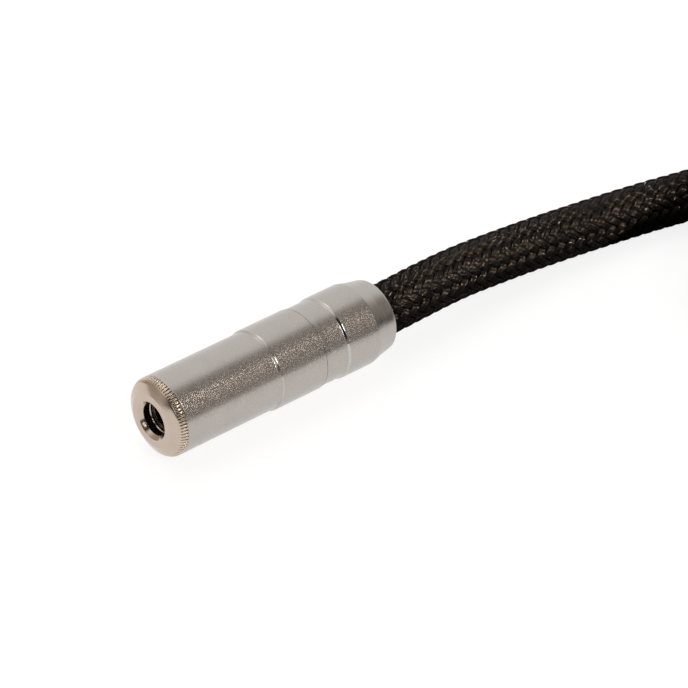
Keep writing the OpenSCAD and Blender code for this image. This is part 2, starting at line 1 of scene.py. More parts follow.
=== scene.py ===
# %% [markdown]
# # A turned jack socket on a braided lead
# The CAD model holds every piece at its real size. This lesson adds what the CAD model can't
# hold: the finish of each surface, the broken edges of the turned metal, and the braid of the
# lead, thread by thread. Everything is in metres, in the CAD model's own frame.

# %% Load the frame
import json
import math

import bmesh
import bpy
import numpy as np
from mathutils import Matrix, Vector


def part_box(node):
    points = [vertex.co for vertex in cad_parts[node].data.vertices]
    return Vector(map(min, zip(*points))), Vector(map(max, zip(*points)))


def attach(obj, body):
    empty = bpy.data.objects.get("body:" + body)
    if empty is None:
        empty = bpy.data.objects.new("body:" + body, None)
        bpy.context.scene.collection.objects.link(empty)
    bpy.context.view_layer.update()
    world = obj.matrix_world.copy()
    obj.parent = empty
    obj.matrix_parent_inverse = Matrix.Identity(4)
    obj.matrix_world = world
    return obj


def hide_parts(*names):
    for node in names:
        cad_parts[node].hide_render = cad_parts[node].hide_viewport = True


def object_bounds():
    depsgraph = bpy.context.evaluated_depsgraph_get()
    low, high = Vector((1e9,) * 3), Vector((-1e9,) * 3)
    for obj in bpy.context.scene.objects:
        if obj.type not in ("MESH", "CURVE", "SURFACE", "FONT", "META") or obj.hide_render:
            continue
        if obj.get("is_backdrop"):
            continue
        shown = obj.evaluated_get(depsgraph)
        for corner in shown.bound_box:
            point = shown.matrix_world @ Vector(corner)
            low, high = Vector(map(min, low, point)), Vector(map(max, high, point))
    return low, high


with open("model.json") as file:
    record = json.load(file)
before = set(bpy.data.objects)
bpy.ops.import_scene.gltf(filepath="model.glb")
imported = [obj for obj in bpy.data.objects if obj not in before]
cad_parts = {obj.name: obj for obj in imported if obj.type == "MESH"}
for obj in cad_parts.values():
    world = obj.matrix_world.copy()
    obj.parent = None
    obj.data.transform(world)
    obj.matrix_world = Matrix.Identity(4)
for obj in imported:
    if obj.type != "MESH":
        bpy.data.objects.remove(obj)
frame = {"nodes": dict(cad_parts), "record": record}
nodes = frame["nodes"]
cad_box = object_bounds()
MM = 0.001
print("CAD nodes:", len(nodes), "box:", [tuple(round(x, 4) for x in c) for c in cad_box])

# %% [markdown]
# ## The camera
# A long lens from a little above keeps the barrel's sides almost parallel, as in a catalogue
# picture. The camera is set by what it looks at, how far away it stands and two angles, so that
# each of the four can be changed by itself.

# %% The camera
FRAME_PX = 688
FOCAL_PX = 3753
SENSOR_MM = 36
LOOKS_AT = Vector((0.01618, -0.00411, 0.0083))
CAMERA_DISTANCE = 0.7092
CAMERA_AZIMUTH = -131.21  # degrees
CAMERA_ELEVATION = 33.67  # degrees


def towards(azimuth, elevation):
    """The unit vector towards a compass direction in degrees: 0 is +X and 90 is +Y."""
    azimuth, elevation = math.radians(azimuth), math.radians(elevation)
    flat = math.cos(elevation)
    return Vector((flat * math.cos(azimuth), flat * math.sin(azimuth), math.sin(elevation)))


camera_data = bpy.data.cameras.new("camera")
camera_data.sensor_width = SENSOR_MM
camera_data.lens = SENSOR_MM * FOCAL_PX / FRAME_PX
camera_data.clip_start = 0.01
camera_data.clip_end = 20
camera = bpy.data.objects.new("camera", camera_data)
bpy.context.scene.collection.objects.link(camera)
to_camera = towards(CAMERA_AZIMUTH, CAMERA_ELEVATION)
camera.location = LOOKS_AT + CAMERA_DISTANCE * to_camera
camera.rotation_mode = "QUATERNION"
camera.rotation_quaternion = (-to_camera).to_track_quat("-Z", "Y")
bpy.context.scene.camera = camera
print("lens:", round(camera_data.lens, 1), "mm")

# %% [markdown]
# ## The lead's route
# The lead has one centreline from the socket's tail to the plug's tail: down to the table, a
# loose run, a neat coil in two layers and a short hop to the plug. The free stretches follow
# the points listed below.

# %% The route's points, in metres
CABLE_D = 0.0095
CABLE_R = CABLE_D / 2
AXIS_Z = 0.0083
SOCKET_EXIT = np.array((0.0272, 0, AXIS_Z))
PLUG_AXIS_Y = -0.1343
PLUG_EXIT = np.array((0.0746, PLUG_AXIS_Y, AXIS_Z))
RUN_POINTS = [
    (0.041, 0.0004, 0.0082), (0.050, 0.001, 0.0076), (0.058, 0.0011, 0.0069),
    (0.066, 0.001, 0.0062), (0.074, 0.0007, 0.0055), (0.082, 0, 0.005),
    (0.090, -0.0012, 0.0048), (0.099, -0.003, 0.00475), (0.108, -0.0053, 0.0048),
    (0.117, -0.0077, 0.0049), (0.126, -0.0102, 0.0052), (0.135, -0.0129, 0.0055),
]
PLUG_POINTS = [(0.110, -0.1343, 0.015), (0.100, -0.1344, 0.013), (0.090, -0.1344, 0.0102)]
print("points by hand:", len(RUN_POINTS) + len(PLUG_POINTS))

# %% [markdown]
# ## The coil
# The coil's turns follow the same formula as the CAD coil. Its radius shrinks by one pitch per
# turn, and grows again on the second layer, which the cable climbs to halfway.

# %% The coil's turns
COIL_CENTRE = np.array((0.132, -0.075))
COIL_R = 0.059
COIL_Z = 0.00565
COIL_START = 69  # degrees
COIL_TURNS = 4.44
COIL_CLIMB = 0.5  # turns that the climb to the second layer takes
TURN_GAP = 0.45 * MM
TURN_PITCH = CABLE_D + TURN_GAP
COIL_STEPS = 108


def coil_radius(t):
    """The radius of the coil's centreline after t turns."""
    return COIL_R - TURN_PITCH * min(t, COIL_TURNS - t)


def coil_point(t):
    """The coil's centreline after t turns, clockwise seen from above."""
    share = min(max((t - COIL_TURNS / 2) / COIL_CLIMB + 0.5, 0), 1)
    angle = math.radians(COIL_START - 360 * t)
    height = COIL_Z + TURN_PITCH * share * share * (3 - 2 * share)
    flat = COIL_CENTRE + coil_radius(t) * np.array((math.cos(angle), math.sin(angle)))
    return np.array((*flat, height))


coil = [coil_point(COIL_TURNS * i / COIL_STEPS) for i in range(COIL_STEPS + 1)]
print("coil:", len(coil), "points")

# %% [markdown]
# ## From the socket to the plug
# A cable leaves a stiff piece straight, and joins a coil in the coil's own direction. So each
# free stretch gets an extra point at both of its ends.

# %% The free stretches
TURN_BIT = 0.001  # a turn this short gives the coil's direction at its ends
along_x = np.array((1.0, 0, 0))


def unit(v):
    """The same direction with length 1."""
    return v / np.linalg.norm(v)


into_coil = unit(coil_point(TURN_BIT) - coil[0])
out_of_coil = unit(coil[-1] - coil_point(COIL_TURNS - TURN_BIT))
coil_front = coil[0] - CABLE_D * into_coil
coil_back = coil[-1] + CABLE_D * out_of_coil
free_run = [
    SOCKET_EXIT, SOCKET_EXIT + CABLE_R * along_x,
    *map(np.array, RUN_POINTS),
    coil_front - CABLE_R * into_coil, coil_front,
]
hop = [
    coil_back, coil_back + CABLE_R * out_of_coil,
    *map(np.array, PLUG_POINTS),
    PLUG_EXIT + CABLE_R * along_x, PLUG_EXIT,
]
print("route:", len(free_run), "points,", len(coil), "on the coil,", len(hop), "to the plug")

# %% [markdown]
# ## A smooth line through the points
# A Catmull-Rom curve goes through each point and leaves it in the direction of its neighbours,
# which is how a stiff cable bends. The curve is then measured and cut into equal steps, because
# a braid only looks right if its threads advance evenly.


# %% Smooth and measure the route
def smooth(points, per_span=12):
    """A centripetal Catmull-Rom curve through the points, with per_span steps for each span."""
    p = [2 * points[0] - points[1], *points, 2 * points[-1] - points[-2]]
    out = []
    for a, b, c, d in zip(p, p[1:], p[2:], p[3:]):
        knots = np.cumsum([0, *(np.linalg.norm(v) ** 0.5 for v in (b - a, c - b, d - c))])
        t = np.linspace(knots[1], knots[2], per_span, endpoint=False)[:, None]
        t0, t1, t2, t3 = knots
        ab = (t1 - t) / (t1 - t0) * a + (t - t0) / (t1 - t0) * b
        bc = (t2 - t) / (t2 - t1) * b + (t - t1) / (t2 - t1) * c
        cd = (t3 - t) / (t3 - t2) * c + (t - t2) / (t3 - t2) * d
        abc = (t2 - t) / (t2 - t0) * ab + (t - t0) / (t2 - t0) * bc
        bcd = (t3 - t) / (t3 - t1) * bc + (t - t1) / (t3 - t1) * cd
        out.append((t2 - t) / (t2 - t1) * abc + (t - t1) / (t2 - t1) * bcd)
    return np.concatenate([*out, [points[-1]]])


def lengths(line):
    """How far along a line each of its points is."""
    return np.concatenate([[0], np.cumsum(np.linalg.norm(np.diff(line, axis=0), axis=1))])


def at_lengths(line, s):
    """The line's points at the distances s along it."""
    along = lengths(line)
    return np.stack([np.interp(s, along, line[:, k]) for k in range(3)], axis=1)


TAIL = 7.9 * MM  # how far the braid goes on inside each metal tail
lead = smooth([SOCKET_EXIT - TAIL * along_x, *free_run, *coil, *hop, PLUG_EXIT - TAIL * along_x])
lead_length = float(lengths(lead)[-1]) - 2 * TAIL
run_length = float(lengths(smooth([SOCKET_EXIT - TAIL * along_x, *free_run]))[-1])
print("lead length:", round(lead_length, 4), "m, of which", round(run_length, 4), "m lies before the coil")

# %% [markdown]
# ## Materials as nodes
# A finish is a Principled shader with a few nodes in front of it. One function turns the hex
# code of a colour into the linear numbers that a shader wants. One adds a node, sets it and
# links it. A third makes the material and sets what is the same all over.


# %% Make a material
def colour(code):
    """The linear colour, with alpha, of an sRGB hex code such as #C8BBAC."""
    srgb = [int(code[i:i + 2], 16) / 255 for i in (1, 3, 5)]
    return (*(s / 12.92 if s <= 0.04045 else ((s + 0.055) / 1.055) ** 2.4 for s in srgb), 1)


def node(tree, kind, inputs={}, **settings):
    """Adds a shader node. An input's value is a number, a vector, a colour or a node's output."""
    made = tree.nodes.new("ShaderNode" + kind)
    for name, value in settings.items():
        setattr(made, name, value)
    for name, value in inputs.items():
        if isinstance(value, bpy.types.NodeSocket):
            tree.links.new(value, made.inputs[name])
        else:
            made.inputs[name].default_value = value
    return made


def finish_of(name, base, sockets):
    """A material with one Principled shader: its name, base colour and other sockets."""
    made = bpy.data.materials.new(name)
    made.use_nodes = True
    made.diffuse_color = colour(base)
    shader = made.node_tree.nodes["Principled BSDF"]
    shader.inputs["Base Color"].default_value = colour(base)
    for socket, value in sockets.items():
        shader.inputs[socket].default_value = value
    return made, made.node_tree, shader


print("a mid grey:", [round(x, 3) for x in colour("#808080")])

# %% [markdown]
# ## Patterns in a finish
# No real surface is the same all over, so each finish has a pattern that runs from 0 to 1. Most
# patterns are a grain: a noise whose lumps have a real size, fixed to the piece. Colour,
# roughness and relief can follow one pattern or several, which is quicker to paint than images
# and has no seams.


# %% Patterns, and what follows them
def grain(tree, size, detail=2, where=None):
    """Noise from 0 to 1 whose lumps are about size metres wide, fixed to the object."""
    where = where or node(tree, "TexCoord").outputs["Object"]
    inputs = {"Vector": where, "Scale": 1 / size, "Detail": detail, "Roughness": 0.55}
    return node(tree, "TexNoise", inputs).outputs[0]


def follow(tree, shader, pattern, colours=None, roughness=None, depth=None, span=(0, 1)):
    """Lets a finish's colours, roughness and relief follow a pattern, each if it is given.

    The colours and roughnesses are those at the pattern's low and high end. The roughness changes
    over a span of the pattern, and the relief is depth metres deep.
    """
    if colours:
        mixed = {0: pattern, 6: colour(colours[0]), 7: colour(colours[1])}
        base = node(tree, "Mix", mixed, data_type="RGBA").outputs[2]
        tree.links.new(base, shader.inputs["Base Color"])
    if roughness:
        ends = {"From Min": span[0], "From Max": span[1], "To Min": roughness[0], "To Max": roughness[1]}
        dullness = node(tree, "MapRange", {"Value": pattern, **ends}).outputs["Result"]
        tree.links.new(dullness, shader.inputs["Roughness"])
    if depth:
        relief = node(tree, "Bump", {"Height": pattern, "Distance": depth})
        tree.links.new(relief.outputs[0], shader.inputs["Normal"])


NOISE_SPAN = (0.3, 0.7)  # where nearly all of a noise's values lie
print("a noise is stretched from", *NOISE_SPAN)

# %% [markdown]
# ## The lead's materials
# The sleeve is braided from black nylon monofilament. It is drawn through a die and is as smooth
# as glass, so each filament carries a thin bright line along its side and is near black
# elsewhere. Its reflections are set weaker and warmer than clear nylon's, so that the gaps stay
# black. Where a whole bundle is one thread, five humps across it stand for its filaments.

# %% Nylon monofilament
FILAMENTS = 5
SPOOL_PATCH = 1.3 * MM
NYLON = {"IOR": 1.53, "Specular Tint": colour("#FFE0C2")}


def spool_shades(tree):
    """Patches of one shade: filaments come from several spools, and some are browner and duller."""
    shades = {"Value": grain(tree, SPOOL_PATCH), "From Min": 0.35, "From Max": 0.65}
    return node(tree, "MapRange", shades).outputs["Result"]


monofilament, tree, shader = finish_of(
    "drawn_nylon_monofilament", "#0D0B09", {**NYLON, "Specular IOR Level": 0.07}
)
follow(tree, shader, spool_shades(tree), ("#020202", "#070504"), (0.1, 0.22))

bundle_finish, tree, shader = finish_of(
    "nylon_monofilament_bundle", "#0D0B09", {**NYLON, "Specular IOR Level": 0.035}
)
across = node(tree, "SeparateXYZ", {0: node(tree, "UVMap", uv_map="thread").outputs[0]}).outputs[0]
lane = node(tree, "Math", {0: across, 1: FILAMENTS}, operation="MULTIPLY").outputs[0]
hump = node(tree, "Math", {0: lane, 1: 0.5}, operation="PINGPONG").outputs[0]
rounded = node(tree, "MapRange", {"Value": hump, "From Max": 0.32}).outputs["Result"]
# painted shade and highlight: the colour is darker in the gaps between the drawn filaments and lighter on
# their tops
follow(tree, shader, rounded, ("#020101", "#0B0806"))
follow(tree, shader, spool_shades(tree), roughness=(0.4, 0.55))
follow(tree, shader, hump, depth=0.26 * MM)
print("filaments in a bundle:", FILAMENTS)

# %% [markdown]
# ## The jacket's material
# The jacket under the braid is soft black PVC. It is extruded, and has a fine dull skin.

# %% Soft PVC
jacket_finish, tree, shader = finish_of(
    "soft_black_pvc", "#0B0B0C", {"Roughness": 0.75, "Specular IOR Level": 0.3}
)
skin = {"Height": grain(tree, 0.15 * MM), "Distance": 0.01 * MM, "Strength": 0.6}
tree.links.new(node(tree, "Bump", skin).outputs[0], shader.inputs["Normal"])
print("jacket:", jacket_finish.name)

# %% [markdown]
# ## Tubes along lines
# A braid is a few dozen threads that are all alike, so one function sweeps a small outline along
# many lines at once. Each tube is closed at both ends. Curve objects could do the same, but they
# turn their outline by rules of their own, and a flat thread has to lie on the cable.


# %% Sweep an outline along lines
def add_piece(name, mesh, body, slot, materials):
    """Makes a mesh a piece of the model: it rides on a body and takes the materials given; slot is not used.
    """
    for material in materials:
        mesh.materials.append(material)
    piece = bpy.data.objects.new(name, mesh)
    bpy.context.scene.collection.objects.link(piece)
    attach(piece, body)
    print(name, "has", sum(len(p.vertices) - 2 for p in mesh.polygons), "triangles")
    return piece


def sweep(name, lines, outward, outline, slot, material):
    """A closed tube along each line, with a UV map whose unit is the outline's width.

    The outline's points are (to the right, outwards), anticlockwise.
    """
    count, steps, sides = len(lines), lines.shape[1], len(outline)
    forward = np.gradient(lines, axis=1)
    right = np.cross(forward, outward)
    right /= np.linalg.norm(right, axis=2)[..., None]
    rings = (
        lines[:, :, None]
        + right[:, :, None] * outline[:, 0, None]
        + outward[:, :, None] * outline[:, 1, None]
    )
    first = (np.arange(count)[:, None] * steps + np.arange(steps - 1)).reshape(-1, 1) * sides
    corner, following = np.arange(sides), (np.arange(sides) + 1) % sides
    walls = np.stack(
        [first + corner, first + sides + corner, first + sides + following, first + following], axis=2
    )
    starts = np.arange(count)[:, None] * steps * sides + corner
    ends = starts[:, ::-1] + (steps - 1) * sides
    faces = [*walls.reshape(-1, 4).tolist(), *starts.tolist(), *ends.tolist()]
    mesh = bpy.data.meshes.new(name)
    mesh.from_pydata(rings.reshape(-1, 3), [], faces)
    wide = np.ptp(outline[:, 0])
    uv = np.empty((count, steps, sides, 2), np.float32)
    uv[..., 0] = outline[:, 0] / wide + 0.5
    uv[..., 1] = np.stack([lengths(line) for line in lines])[:, :, None] / wide
    vertex = np.empty(len(mesh.loops), np.int32)
    mesh.loops.foreach_get("vertex_index", vertex)
    mesh.uv_layers.new(name="thread").data.foreach_set("uv", uv.reshape(-1, 2)[vertex].ravel())
    mesh.shade_smooth()
    return add_piece(name, mesh, "shell", slot, [material])


# %% [markdown]
# ## The cord's core
# Under the braid lies a round jacket: one tube along the whole line, a little thinner than the
# braid's inside.

# %% The core
CORE_R = 3.9 * MM
CORE_STEP = 3 * MM
CORE_SIDES = 16


def directions(line):
    """The unit vectors forward, sideways and up at each point of a line that is never upright."""
    forward = np.gradient(line, axis=0)
    forward /= np.linalg.norm(forward, axis=1)[:, None]
    side = np.cross((0, 0, 1), forward)
    side /= np.linalg.norm(side, axis=1)[:, None]
    return forward, side, np.cross(forward, side)


def round_outline(radius, sides):
    """A regular polygon's corners, anticlockwise."""
    turn = 2 * np.pi * np.arange(sides) / sides
    return radius * np.stack([np.cos(turn), np.sin(turn)], axis=1)


core_at = np.linspace(TAIL, TAIL + lead_length, round(lead_length / CORE_STEP))
core_line = at_lengths(lead, core_at)
core_up = directions(core_line)[2]
core_outline = round_outline(CORE_R, CORE_SIDES)
core = sweep("lead_core", core_line[None], core_up[None], core_outline, "jacket", jacket_finish)
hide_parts("cable_run", "cable_coil", "plug_run")

# %% [markdown]
# ## The braid
# The sleeve is braided by 32 carriers: 16 bundles run round the cable one way and 16 the other,
# and each passes over two and under two. Where a bundle lies on top depends only on where it is
# round the cable, so the braid shows chevrons in columns. Each bundle is five monofilaments.
# Where the lead is looked at closely, each filament is a tube. Along the coil, a bundle is one
# flat thread with its filaments in the material.

# %% Threads round the lead
CARRIERS = 16  # each way round
LAY = 42.6 * MM  # in which a bundle runs once round the cable
BUNDLE_TURN = 2 * math.pi / CARRIERS
COLUMN = BUNDLE_TURN / 2
BRAID_R = 4.38 * MM
LEAN = math.atan(2 * math.pi * BRAID_R / LAY)
BUNDLE_PITCH = BUNDLE_TURN * BRAID_R * math.cos(LEAN)
STEEPNESS = 2.2  # of a thread's climb over the next ones: more is steeper
print("the bundles lean", round(math.degrees(LEAN), 1), "degrees,", round(BUNDLE_PITCH / MM, 2), "mm apart")


def wander(count, s, size, seed, every=5 * MM):
    """A slow random drift for each of count threads, about size large."""
    chance = np.random.default_rng(seed)
    knots = np.arange(s[0], s[-1] + every, every)
    return np.stack([np.interp(s, knots, chance.normal(0, size, len(knots))) for _ in range(count)])


def threads(s, way, bundles, lanes, heights, middle, wave, drift, seed):
    """Lines and outward directions of the threads of some bundles that run one way round.

    s are the distances along the lead. Each bundle has one thread for each of the lanes across
    it, which lies higher by one of the heights. It rises and dips by wave round the radius
    middle, and each thread strays by about drift.
    """
    line = at_lengths(lead, s)
    _, side, up = directions(line)
    bundle, lane = (x.reshape(-1, 1) for x in np.meshgrid(bundles, lanes))
    share = lane / BUNDLE_PITCH + wander(len(lane), s, drift / BUNDLE_PITCH, seed)
    angle = (bundle + share) * BUNDLE_TURN + way * 2 * np.pi * s / LAY
    over = np.cos((angle / COLUMN - share - 0.5) * np.pi / 2)
    rise = np.repeat(heights, len(bundles))[:, None] + way * wave * np.tanh(STEEPNESS * over)
    radius = middle + rise + wander(len(lane), s, drift / 2, seed + 1)
    outward = np.cos(angle)[..., None] * up + np.sin(angle)[..., None] * side
    return line + radius[..., None] * outward, outward


# %% [markdown]
# ## The braid on the free run
# A bundle isn't flat: its five filaments lie in a low arch, with the middle one highest. Every
# second bundle goes into a piece of its own, so that no piece gets too many triangles.

# %% The filaments of the free run
FILAMENT_D = 0.27 * MM
FILAMENT_SIDES = 5
BUNDLE_SPAN = 1.02 * MM  # between the middles of a bundle's outer filaments
PLUMPNESS = 0.45 * MM  # half the height of the oval that a bundle's arch is cut from
ARCH = 72  # degrees from the arch's top to its outer filaments
FINE_WAVE = 0.42 * MM
FINE_DRIFT = 0.02 * MM
FINE_STEP = LAY / 104
fine = np.arange(0, run_length, FINE_STEP)
arch = np.radians(np.linspace(-ARCH, ARCH, FILAMENTS))
lanes = BUNDLE_SPAN / 2 * np.sin(arch) / np.sin(arch[-1])
heights = PLUMPNESS * (np.cos(arch) - np.cos(arch[-1]))
filament = round_outline(FILAMENT_D / 2, FILAMENT_SIDES)
braid = []
for way, name in ((1, "braid_run_right"), (-1, "braid_run_left")):
    for first in (0, 1):
        bundles = np.arange(first, CARRIERS, 2)
        lines, outward = threads(
            fine, way, bundles, lanes, heights, BRAID_R, FINE_WAVE, FINE_DRIFT, 7 * way + 20
        )
        braid.append(sweep(f"{name}_{first}", lines, outward, filament, "braid", monofilament))
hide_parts("braid_end")

# %% [markdown]
# ## The braid along the coil
# The coil is looked at from further away, so each bundle is one flat thread. Its ring of points
# falls halfway between two crossings, where the thread is highest or lowest, and the straight
# stretch between them clears the thread that it crosses.

# %% The bundles along the coil
BUNDLE_W = 1.4 * MM
BUNDLE_T = 0.3 * MM
FLAT_R = 4.28 * MM
FLAT_WAVE = 0.3 * MM
FLAT_DRIFT = 0.03 * MM
flat_outline = np.array((
    (-BUNDLE_W / 2, -BUNDLE_T / 2), (BUNDLE_W / 2, -BUNDLE_T / 2),
    (BUNDLE_W / 2.4, BUNDLE_T / 3), (0, BUNDLE_T / 2), (-BUNDLE_W / 2.4, BUNDLE_T / 3),
))
COARSE_STEP = LAY / 32
coil_from = (math.floor(run_length / COARSE_STEP) - 0.5) * COARSE_STEP
coarse = np.arange(coil_from, lead_length + 2 * TAIL, COARSE_STEP)
one_lane = np.zeros(1)
for way, name in ((1, "braid_coil_right"), (-1, "braid_coil_left")):
    lines, outward = threads(
        coarse, way, np.arange(CARRIERS), one_lane, one_lane, FLAT_R, FLAT_WAVE, FLAT_DRIFT, 3 * way + 40
    )
    braid.append(sweep(name, lines, outward, flat_outline, "braid", bundle_finish))
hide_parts("plug_braid_end")

# %% [markdown]
# ## Stray hairs
# A few filaments are nicked in handling and stand off the braid as short bent hairs. They are
# what makes a woven edge look soft, and a dozen or so is enough.

# %% Stray hairs
HAIRS = 14
HAIR_R = 0.07 * MM
HAIR_SIDES = 5
HAIR_STEPS = 7
HAIR_ZONE = (2, 105)  # mm from the socket's tail
HAIR_TURN = 2.2  # radians from the top of the cable, either way
HAIR_REACH = (0.3, 0.8)  # mm out from the braid
HAIR_CURL = 2.2  # radians of a sine that a hair rises and falls by
HAIR_LEAN = 1.6  # how many times its reach a hair runs along the braid
chance = np.random.default_rng(11)
hair_from = TAIL + chance.uniform(*HAIR_ZONE, HAIRS) * MM
pairs = np.stack([at_lengths(lead, hair_from), at_lengths(lead, hair_from + 1 * MM)], axis=1)
forward, side, up = (np.stack(x) for x in zip(*(directions(pair) for pair in pairs)))
turn = chance.uniform(-HAIR_TURN, HAIR_TURN, HAIRS)[:, None, None]
hair_out = np.cos(turn) * up[:, :1] + np.sin(turn) * side[:, :1]
lean_way = np.where(chance.random(HAIRS) < 0.5, -1, 1)[:, None, None]
hair_along = lean_way * forward[:, :1]
reach = chance.uniform(*HAIR_REACH, HAIRS)[:, None, None] * MM
bend = np.linspace(0, 1, HAIR_STEPS)[None, :, None]
hair_lines = (
    pairs[:, :1]
    + (BRAID_R + reach * np.sin(HAIR_CURL * bend)) * hair_out
    + HAIR_LEAN * bend * reach * hair_along
)
hair_side = np.broadcast_to(np.cross(hair_out, hair_along), hair_lines.shape)
hair_outline = round_outline(HAIR_R, HAIR_SIDES)
hairs = sweep("stray_hairs", hair_lines, hair_side, hair_outline, "braid", monofilament)

# %% [markdown]
# ## Bead-blasted aluminium
# The barrel and the tail cap are turned aluminium, blasted with fine glass beads and then clear
# anodised. Each bead leaves a shallow dent. The dents spread a reflection into a soft sheen, and
# where the sheen is dark, single dents still catch the light as sparkles. Real dents are a tenth
# of a millimetre wide. They are drawn nearly twice as wide here, so that they show.

# %% Bead-blasted aluminium
DENT = 0.18 * MM
DENT_DEPTH = 0.011 * MM
CLOUD = 4 * MM
blasted, tree, shader = finish_of("bead_blasted_aluminium", "#B3ADA7", {"Metallic": 1.0})
follow(tree, shader, grain(tree, DENT, 3), depth=DENT_DEPTH)
# some dents are burnished and mirror a lamp
follow(tree, shader, grain(tree, DENT, 1), roughness=(0.36, 0.14), span=(0.48, 0.6))
follow(tree, shader, grain(tree, CLOUD), ("#AFA9A3", "#B7B1AB"))
print("dents drawn", round(DENT / MM, 2), "mm wide")

# %% [markdown]
# ## Turned metal
# After blasting, the edge of each raised land is cut once more with a diamond tool, so it mirrors
# the room in a thin bright line. The bush is turned brass under a warm satin nickel plate. Both
# keep the lathe's own marks: rings on a flat face, and turns along a cylinder. They come from one
# rule, a noise that depends only on the radius and on the place along the axis. The rings lie
# round the piece's own axis, so a finish is made once for the socket and once for the plug.

# %% Turned metal
TOOL_MARK = 0.12 * MM
MOTTLE = 2.5 * MM


def turned_metal(name, axis_y, colours, roughness, depth):
    """Turned metal between two colours, with tool marks of that depth round an axis at that Y."""
    made, tree, shader = finish_of(name, colours[0], {"Metallic": 1.0})
    where = node(tree, "TexCoord").outputs["Object"]
    centred = node(tree, "Mapping", {"Vector": where, "Location": (0, -axis_y, -AXIS_Z)}).outputs[0]
    spoke = node(tree, "VectorMath", {0: centred, 1: (0, 1, 1)}, operation="MULTIPLY").outputs[0]
    radius = node(tree, "VectorMath", {0: spoke}, operation="LENGTH").outputs["Value"]
    along = node(tree, "SeparateXYZ", {0: centred}).outputs[0]
    place = node(tree, "CombineXYZ", {0: along, 1: radius}).outputs[0]
    follow(tree, shader, grain(tree, TOOL_MARK, 3, place), None, roughness, depth, NOISE_SPAN)
    follow(tree, shader, grain(tree, MOTTLE), colours)
    return made


TURNED = {
    # a mirror with the faintest lines: it shows the room as hard black and white
    "diamond_cut_aluminium": (("#B9B6B2", "#C3C0BC"), (0.06, 0.12), 0.0003 * MM),
    # the cap's taper is turned after blasting, so it is smoother and keeps the tool's turns
    "fine_turned_aluminium": (("#AEA8A2", "#B7B1AB"), (0.24, 0.36), 0.004 * MM),
    # warm, soft and slightly ringed
    "satin_nickel_plate": (("#BDADA0", "#C4B5A6"), (0.12, 0.22), 0.0016 * MM),
    # the knurling wheel presses the brass and burnishes the teeth unevenly
    "knurled_nickel_plate": (("#BFAE9B", "#D0C1B0"), (0.14, 0.3), 0.01 * MM),
    # painted shade: the grooves are coloured darker and browner than the teeth
    "painted_groove_shade": (("#6B5642", "#8C755C"), (0.3, 0.5), 0.01 * MM),
}
turned_metals = {
    place: {name: turned_metal(f"{name}_{place}", axis_y, *look) for name, look in TURNED.items()}
    for place, axis_y in (("socket", 0), ("plug", PLUG_AXIS_Y))
}
print("turned metals:", sum(map(len, turned_metals.values())))

# %% [markdown]
# ## The small parts' materials
# What the shell hides is finished too, because the pieces are also looked at one by one. Each
# finish is named for its stock. One function serves them all: its colour, roughness and relief
# follow one noise, whose lumps are as wide as that material's own grain.

# %% Strip, mouldings and wires
METAL = {"Metallic": 1.0}
MILKY = {"IOR": 1.53, "Subsurface Weight": 0.25, "Subsurface Scale": 1 * MM}
PVC = {"IOR": 1.52}


def plain_finish(name, low, high, size, roughness, depth, sockets, stretch=(1, 1, 1)):
    """A finish between two colours, with lumps of that size that can be stretched along an axis."""
    made, tree, shader = finish_of(name, low, sockets)
    where = node(tree, "TexCoord").outputs["Object"]
    lumps = grain(tree, size, 3, node(tree, "Mapping", {"Vector": where, "Scale": stretch}).outputs[0])
    follow(tree, shader, lumps, (low, high), roughness, depth, NOISE_SPAN)
    return made


finishes = {
    # phosphor bronze strip: yellow, with the fine straight lines that the rolls leave
    "contact_strip": plain_finish(
        "rolled_phosphor_bronze", "#C79F63", "#D9B67C", 0.1 * MM, (0.18, 0.3), 0.001 * MM, METAL, (0.06, 1, 1)
    ),
    # phenolic moulding: a very dark brown, with a satin skin and a faint mottle
    "black_moulding": plain_finish(
        "moulded_phenolic", "#32261E", "#4A3A2E", 0.5 * MM, (0.32, 0.5), 0.004 * MM, {"IOR": 1.6}
    ),
    # vulcanised fibre: dull red-brown with a papery grain
    "fibre": plain_finish(
        "vulcanised_fibre", "#5E2A1C", "#7A3A26", 0.25 * MM, (0.5, 0.75), 0.01 * MM, {"IOR": 1.5}
    ),
    # zinc plate: pale, slightly blue, bright but cloudy
    "screw_steel": plain_finish(
        "zinc_plated_steel", "#B4B8BE", "#C9CBCC", 0.2 * MM, (0.18, 0.36), 0.002 * MM, METAL
    ),
    # natural nylon: milky, with some light going through it
    "chuck_nylon": plain_finish(
        "natural_nylon", "#DDD5BE", "#E8E1CE", 1.2 * MM, (0.34, 0.46), 0.004 * MM, MILKY
    ),
    # wire insulation: soft plastic with a waxy sheen
    "wire_white": plain_finish(
        "white_pvc_insulation", "#E4E2DA", "#F0EEE8", 0.6 * MM, (0.32, 0.44), 0.004 * MM, PVC
    ),
    "wire_red": plain_finish(
        "red_pvc_insulation", "#9C1712", "#B0211A", 0.6 * MM, (0.32, 0.44), 0.004 * MM, PVC
    ),
    # solder: bright where it flowed, frosted where it set last
    "solder": plain_finish("tin_solder", "#BFC0C2", "#D0D1D2", 0.4 * MM, (0.12, 0.4), 0.012 * MM, METAL),
    "blasted_aluminium": blasted,
    "nickel_plate": turned_metals["socket"]["satin_nickel_plate"],
    "braid": bundle_finish,
    "jacket": jacket_finish,
}
print("slots with a finish:", len(finishes))

# %% [markdown]
# ## Patterns with a period
# A wave texture repeats every pi/10 of its own units, so its scale is that number over the
# period in metres. The copper strands of a screen are twisted, which shows as slanting ridges.

